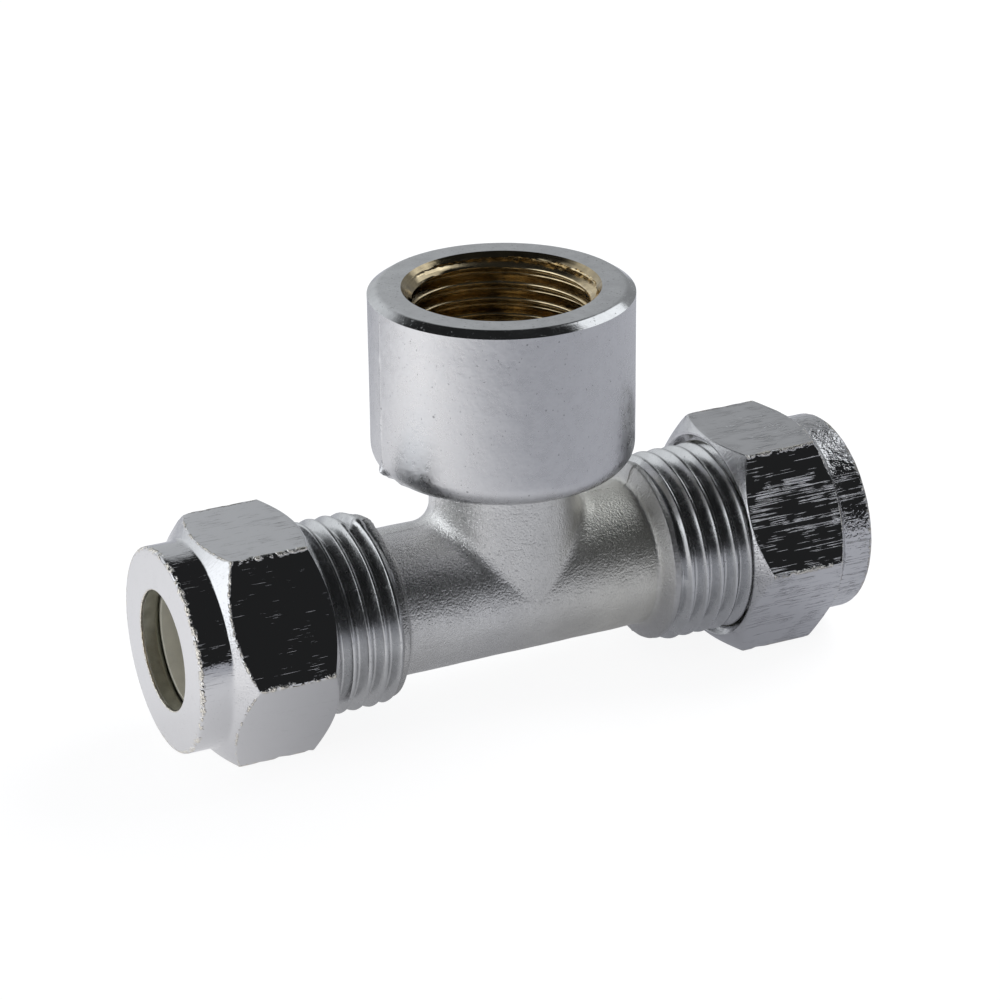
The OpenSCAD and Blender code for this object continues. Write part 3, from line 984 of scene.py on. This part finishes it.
def worn_and_glinting_edges(shading, sizes, face, along, across, up):
    """Two masks for a nut: 1 along its ragged worn edges and round its hole, which get worn plating and a
    painted highlight, and 1 on its chamfer's cone.
    """
    out = shading.joined("SQRT", shading.joined("ADD", shading.joined("MULTIPLY", across, across),
                                                shading.joined("MULTIPLY", up, up)))
    ragged = shading.spread(shading.speckle(0.5 * MM, 3.0, 0.6), 0.3, 0.7, -0.25 * MM, 0.25 * MM)

    def reached(value, edge, shake=1.0, ramp=0.06 * MM):
        """1 where a value shaken by the ragged noise has passed an edge."""
        shaken = shading.joined("ADD", value, shading.joined("MULTIPLY", ragged, shake))
        return shading.spread(shaken, edge - ramp, edge + ramp)

    nose = shading.joined("MULTIPLY", reached(along, face - 0.4 * MM),
                          reached(out, sizes.nose_radius - 0.35 * MM))
    flats = shading.joined("ABSOLUTE", up)
    for lean in (-1, 1):
        flat = shading.joined("ADD", shading.joined("MULTIPLY", up, 0.5),
                              shading.joined("MULTIPLY", across, lean * math.cos(HALF_SECTOR)))
        flats = shading.joined("MAXIMUM", flats, shading.joined("ABSOLUTE", flat))
    slope = math.tan(sizes.front_chamfer)
    chamfer = shading.joined("ADD", out, shading.joined("DIVIDE", along, slope))
    chamfer_end = sizes.nose_radius + (face - sizes.nose_length) / slope
    cut = shading.joined("MULTIPLY", reached(chamfer, chamfer_end - 0.12 * MM, 0.5),
                         reached(flats, HALF_FLATS - 0.14 * MM, 0.5))
    corners = reached(out, CORNER_RADIUS - 0.14 * MM, 0.3)
    edges = shading.joined("MAXIMUM", nose, shading.joined("MAXIMUM", cut, corners))
    broken = shading.spread(shading.speckle(0.9 * MM, 2.0, 0.5), 0.42, 0.52)
    hole = shading.joined("MULTIPLY", shading.spread(along, face - 0.25 * MM, face - 0.1 * MM),
                          shading.spread(out, sizes.hole_radius + 0.15 * MM, sizes.hole_radius + 0.1 * MM))
    on_cone = shading.joined("MULTIPLY", shading.spread(flats, HALF_FLATS - 0.05 * MM, HALF_FLATS - 0.2 * MM),
                             shading.spread(out, sizes.nose_radius + 0.05 * MM, sizes.nose_radius + 0.4 * MM))
    return shading.joined("MAXIMUM", shading.joined("MULTIPLY", edges, broken), hole), on_cone


def nut_plating(sizes, colours, label):
    """Mirror plating with scratches along the nut, craters, and worn edges with a painted highlight, worse on
    the right nut, whose scratches are also painted paler as highlights.
    """
    shading = material_shading(label + "_nut_plating")
    worn = label == "right"
    split = shading.node("SeparateXYZ", {"Vector": shading.place()}).outputs
    along = shading.joined("ABSOLUTE", split["X"])
    face = nut_face(sizes, SIDES[label])
    up = shading.joined("SUBTRACT", split["Z"], AXIS_HEIGHT)
    worn_edge_glint, on_cone = worn_and_glinting_edges(shading, sizes, face, along, split["Y"], up)
    tooling = shading.speckle(0.16 * MM, 2.0, 0.6, shading.stretched(
        (1.0, 0.1, 0.1), shading.unrolled("X", sizes.nose_radius)))
    tooling = shading.joined("MULTIPLY", tooling, on_cone)
    beads = shading.joined("MULTIPLY", shading.speckle(0.3 * MM, 2.0, 0.5), worn_edge_glint)
    lengthwise = shading.stretched((0.016 if worn else 0.03, 1.0, 1.0))
    hairlines = shading.speckle(0.15 * MM, 2.0, 0.7, lengthwise)
    streaks_and_sheen = shading.speckle(0.14 * MM, 2.0, 0.65, lengthwise)
    gathered = shading.spread(shading.speckle(2.2 * MM, 1.0), 0.3, 0.7, -0.09, 0.09)
    streaks_and_sheen = shading.joined("ADD", streaks_and_sheen, gathered)
    streaks_and_sheen = shading.spread(streaks_and_sheen, 0.595 if worn else 0.64, 0.65 if worn else 0.84)
    grooves = shading.joined("MULTIPLY", shading.speckle(0.1 * MM, 2.0, 0.6, lengthwise), streaks_and_sheen)
    craters = shading.spread(shading.pits(0.55 * MM), 0.13, 0.03)
    swell = shading.speckle(2.5 * MM, 2.0, 0.5)
    nose_start = face - sizes.nose_length - 0.8 * MM
    on_nose = shading.spread(along, nose_start, nose_start + 0.6 * MM)
    peel = shading.joined("MULTIPLY", shading.speckle(0.5 * MM, 2.0, 0.6), on_nose)
    base = shading.blended(craters, colours.nut_plating, tinted(colours.nut_plating, 0.8))
    # Painted highlight: the right nut's scratches are painted paler, as if catching light
    base = shading.blended(streaks_and_sheen, base, tinted(colours.nut_plating, 1.25 if worn else 1.0))
    rough = shading.joined("MAXIMUM", shading.spread(streaks_and_sheen, 0.0, 1.0, 0.06, 0.2),
                           shading.spread(worn_edge_glint, 0.0, 1.0, 0.0, 0.2))
    return finished(
        shading,
        [(hairlines, 0.015 * MM, 0.5 if worn else 0.35), (grooves, (0.16 if worn else 0.04) * MM, 1.0),
         (craters, 0.02 * MM, 0.4), (peel, (0.15 if worn else 0.02) * MM, 0.9), (beads, 0.3 * MM, 1.0),
         (tooling, 0.05 * MM, 0.8), (swell, 0.06 * MM, 0.4)],
        # Worn plating with a painted highlight along the ragged edges and round the hole
        base_color=shading.blended(worn_edge_glint, base, colours.worn_plating_and_glint), metallic=1.0, roughness=rough)


def nut_bore(colours):
    """Dull, thin plating inside the nut."""
    shading = material_shading("nut_bore")
    patches = shading.speckle(1.2 * MM, 3.0, 0.6)
    base = colours.hole_plating
    return finished(
        shading, [(patches, 0.02 * MM, 0.4)],
        base_color=shading.blended(shading.spread(patches, 0.3, 0.7), tinted(base, 0.8), tinted(base, 1.05)),
        metallic=1.0, roughness=shading.spread(patches, 0.3, 0.7, 0.4, 0.55))


def bore_brass(name, base, plating, radius, roughness):
    """Golden brown brass under thin plating, brushed round the bore."""
    shading = material_shading(name)
    round_it = shading.unrolled("Z", radius)
    lines = shading.speckle(0.16 * MM, 3.0, 0.7, shading.stretched((0.02, 1.0, 1.0), round_it))
    patches = shading.speckle(1.6 * MM, 3.0, 0.6)
    gold = shading.blended(shading.spread(patches, 0.35, 0.65), tinted(base, 0.75), tinted(base, 1.2))
    return finished(
        shading, [(lines, 0.015 * MM, 0.6), (patches, 0.03 * MM, 0.4)],
        base_color=shading.blended(shading.spread(lines, 0.6, 0.75), gold, plating),
        metallic=1.0, roughness=shading.spread(lines, 0.3, 0.7, *roughness))


def olive_nylon(colours):
    """Matt cream nylon."""
    shading = material_shading("olive_nylon")
    patches = shading.speckle(1.5 * MM, 3.0, 0.5)
    base = colours.nylon
    return finished(
        shading, [(patches, 0.02 * MM, 0.3)],
        base_color=shading.blended(shading.spread(patches, 0.3, 0.7), tinted(base, 0.93), tinted(base, 1.05)),
        roughness=shading.spread(patches, 0.3, 0.7, 0.42, 0.55))


# Studio

def pale_world():
    """A white background for the camera and for reflections, and even light for the rest."""
    world = bpy.data.worlds.new("pale_world")
    shading = Shading(world)
    shading.tree.nodes.clear()
    seen = shading.node("Background", {"Color": (1, 1, 1)})
    light = shading.node("Background", {"Color": (0.95, 0.97, 1), "Strength": 0.4})
    mix = shading.node("MixShader", {0: shading.background_rays(), 1: light.outputs[0], 2: seen.outputs[0]})
    shading.shown(mix.outputs[0])
    bpy.context.scene.world = world


def pale_floor(settings):
    """The floor: white to the camera with the tee's shadow on it, and brighter to the left in reflections."""
    half = 2.0
    corners = [(-half, -half, 0), (half, -half, 0), (half, half, 0), (-half, half, 0)]
    mesh = bpy.data.meshes.new("floor")
    mesh.from_pydata(corners, [], [(0, 1, 2, 3)])
    floor = bpy.data.objects.new("floor", mesh)
    shading = material_shading("pale_floor")
    shading.tree.nodes.clear()
    brightest = (-110 * MM, 10 * MM, 0)
    away = shading.node("VectorMath", {0: shading.place(), 1: brightest}, operation="DISTANCE")
    near = shading.spread(away.outputs["Value"], 150 * MM, 0.0)
    near = shading.joined("POWER", near, 1.2)
    reflected = shading.blended(near, settings.far_glow, settings.near_glow)
    shade_length, shade_width, shade_middle = 26 * MM, 17 * MM, (-0.15, -0.5, 0)
    under = shading.node("VectorMath", {
        0: shading.stretched((1 / shade_length, 1 / shade_width, 0)), 1: shade_middle,
    }, operation="DISTANCE")
    shaded = shading.spread(under.outputs["Value"], 0.4, 1.7, 0.5, 1.0, smooth=True)
    reflected = shading.blended(shaded, (0, 0, 0), reflected)
    rays = shading.node("LightPath").outputs
    seen = shading.blended(rays["Is Camera Ray"], reflected, (1.19, 1.19, 1.19))
    glow = shading.node("Emission", {"Color": seen})
    matt = shading.node("BsdfDiffuse", {"Color": settings.floor_colour})
    to_camera = shading.spread(rays["Is Camera Ray"], 0.0, 1.0, 0.6, 0.75)
    share = shading.joined("MULTIPLY", shading.background_rays(), to_camera)
    mix = shading.node("MixShader", {0: share, 1: matt.outputs[0], 2: glow.outputs[0]})
    shading.shown(mix.outputs[0])
    mesh.materials.append(shading.data)
    bpy.context.scene.collection.objects.link(floor)
    return floor


def dark_surround(settings):
    """The dim room over and in front of the tee, which only its plating shows."""
    mesh = bpy.data.meshes.new("surround")
    shape = bmesh.new()
    bmesh.ops.create_uvsphere(shape, u_segments=96, v_segments=48, radius=settings.surround_radius)
    shape.to_mesh(mesh)
    shape.free()
    surround = bpy.data.objects.new("surround", mesh)
    shading = material_shading("surround_cloth")
    shading.tree.nodes.clear()
    unit = shading.node("VectorMath", {0: shading.place()}, operation="NORMALIZE").outputs["Vector"]
    split = shading.node("SeparateXYZ", {"Vector": unit}).outputs

    def panel(direction, inner, outer, strength):
        """Glow round a direction, full within the inner angle and none past the outer one."""
        middle = Vector(direction).normalized()
        aim = shading.node("VectorMath", {0: unit, 1: middle}, operation="DOT_PRODUCT")
        low, high = (math.cos(math.radians(angle)) for angle in (outer, inner))
        return shading.spread(aim.outputs["Value"], low, high, 0.0, strength, smooth=True)

    backdrop = shading.joined("MULTIPLY", shading.spread(split["Y"], -0.15, 0.35, smooth=True),
                              shading.spread(split["Z"], 0.78, 0.55, smooth=True))
    lit = shading.joined("MULTIPLY", backdrop, shading.spread(split["X"], -0.6, 0.7, 1.02, 0.3))
    dimmest = 0.02
    for other in (dimmest, panel((-0.94, 0.12, 0.25), 24, 40, 1.5), panel((0.70, 0.2, 0.68), 14, 20, 1.3)):
        lit = shading.joined("MAXIMUM", lit, other)
    glow = shading.node("Emission", {"Color": (0.94, 0.97, 1.0), "Strength": lit})
    shading.shown(glow.outputs[0])
    mesh.materials.append(shading.data)
    for rays in ("camera", "diffuse", "transmission", "volume_scatter", "shadow"):
        setattr(surround, "visible_" + rays, False)
    bpy.context.scene.collection.objects.link(surround)
    return surround


def soft_lamp(name, direction, distance, size, power):
    """An oblong lamp that faces the tee from a direction."""
    centre = Vector((0, 0, AXIS_HEIGHT))
    data = bpy.data.lights.new(name, "AREA")
    data.shape = "RECTANGLE"
    data.size, data.size_y = size
    data.energy = power
    lamp = bpy.data.objects.new(name, data)
    away = Vector(direction).normalized()
    lamp.location = centre + away * distance
    lamp.rotation_euler = away.to_track_quat("Z", "Y").to_euler()
    lamp.visible_glossy = False
    bpy.context.scene.collection.objects.link(lamp)


def photo_camera(settings):
    """The camera, at the photograph's angle."""
    data = bpy.data.cameras.new("camera")
    data.lens = settings.lens
    data.sensor_width = SENSOR_WIDTH
    camera = bpy.data.objects.new("camera", data)
    azimuth, elevation = math.radians(CAMERA_AZIMUTH), math.radians(CAMERA_ELEVATION)
    back = Vector((math.sin(azimuth) * math.cos(elevation), -math.cos(azimuth) * math.cos(elevation),
                   math.sin(elevation)))
    right = Vector((math.cos(azimuth), math.sin(azimuth), 0))
    up = back.cross(right)
    roll = Matrix.Rotation(math.radians(CAMERA_ROLL), 4, "Z")
    turn = Matrix((right, up, back)).transposed().to_4x4() @ roll
    camera.matrix_world = Matrix.Translation(CAMERA_AIM + back * CAMERA_DISTANCE * MM) @ turn
    bpy.context.scene.collection.objects.link(camera)
    bpy.context.scene.camera = camera


# Operators

def side_choice(piece):
    """The property for the end of the run that a piece is on."""
    return EnumProperty(
        name="Side", description="End of the run that the " + piece + " is on", default="left",
        items=[("left", "Left", "On the left end"), ("right", "Right", "On the right end")])


class TEE_OT_forged_body(bpy.types.Operator):
    """Build the tee's plated body"""
    bl_idname = "object.tee_forged_body"
    bl_label = "Forged Body"

    def execute(self, context):
        scene = context.scene
        body = forged_body(scene.tee_body, scene.tee_colours)
        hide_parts("tee_body")
        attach(body, "tee")
        return {"FINISHED"}


class TEE_OT_compression_nut(bpy.types.Operator):
    """Build one of the two compression nuts"""
    bl_idname = "object.tee_compression_nut"
    bl_label = "Compression Nut"

    side: side_choice("nut")

    def execute(self, context):
        scene = context.scene
        nut = compression_nut(scene.tee_nuts, scene.tee_body, scene.tee_colours, self.side)
        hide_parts(self.side + "_nut")
        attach(nut, self.side + "_nut")
        return {"FINISHED"}


class TEE_OT_nylon_olive(bpy.types.Operator):
    """Build one of the two nylon olives"""
    bl_idname = "object.tee_nylon_olive"
    bl_label = "Nylon Olive"

    side: side_choice("olive")

    def execute(self, context):
        scene = context.scene
        olive = nylon_olive(scene.tee_olives, scene.tee_colours, self.side)
        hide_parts(self.side + "_olive")
        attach(olive, self.side + "_olive")
        return {"FINISHED"}


class TEE_OT_studio(bpy.types.Operator):
    """Set up the floor, the surround, the lamps and the camera"""
    bl_idname = "object.tee_studio"
    bl_label = "Studio"

    def execute(self, context):
        settings = context.scene.tee_studio
        context.scene.view_settings.view_transform = "Standard"
        pale_world()
        pale_floor(settings)
        dark_surround(settings)
        soft_lamp("right_lamp", direction=(0.8, 0.25, 0.75), distance=0.5, size=(0.35, 0.3), power=1.3)
        soft_lamp("left_lamp", direction=(-1, -0.05, 0.12), distance=0.6, size=(0.4, 0.16), power=1.3)
        photo_camera(settings)
        return {"FINISHED"}


class TEE_PT_panel(bpy.types.Panel):
    """Compression tee"""
    bl_idname = "TEE_PT_panel"
    bl_label = "Compression Tee"
    bl_space_type = "VIEW_3D"
    bl_region_type = "UI"
    bl_category = "Compression Tee"

    def draw(self, context):
        layout = self.layout
        for group in GROUPS:
            box = layout.box()
            box.label(text=group.removeprefix("tee_").title())
            settings = getattr(context.scene, group)
            for name in settings.__annotations__:
                box.prop(settings, name)
        layout.operator(TEE_OT_forged_body.bl_idname)
        for kind in (TEE_OT_compression_nut, TEE_OT_nylon_olive):
            for label in SIDES:
                layout.operator(kind.bl_idname, text=label.title() + " " + kind.bl_label).side = label
        layout.operator(TEE_OT_studio.bl_idname)


GROUPS = {
    "tee_body": TeeBodySizes,
    "tee_nuts": NutSizes,
    "tee_olives": OliveSizes,
    "tee_colours": FinishColours,
    "tee_studio": StudioSettings,
}
CLASSES = [
    *GROUPS.values(), TEE_OT_forged_body, TEE_OT_compression_nut, TEE_OT_nylon_olive, TEE_OT_studio,
    TEE_PT_panel,
]


def register():
    for kind in CLASSES:
        bpy.utils.register_class(kind)
    for name, kind in GROUPS.items():
        setattr(bpy.types.Scene, name, PointerProperty(type=kind))


def unregister():
    for name in GROUPS:
        delattr(bpy.types.Scene, name)
    for kind in reversed(CLASSES):
        bpy.utils.unregister_class(kind)


def main():
    register()
    bpy.ops.object.tee_forged_body()
    for label in SIDES:
        bpy.ops.object.tee_compression_nut(side=label)
        bpy.ops.object.tee_nylon_olive(side=label)
    bpy.ops.object.tee_studio()


if __name__ == "__main__":
    main()
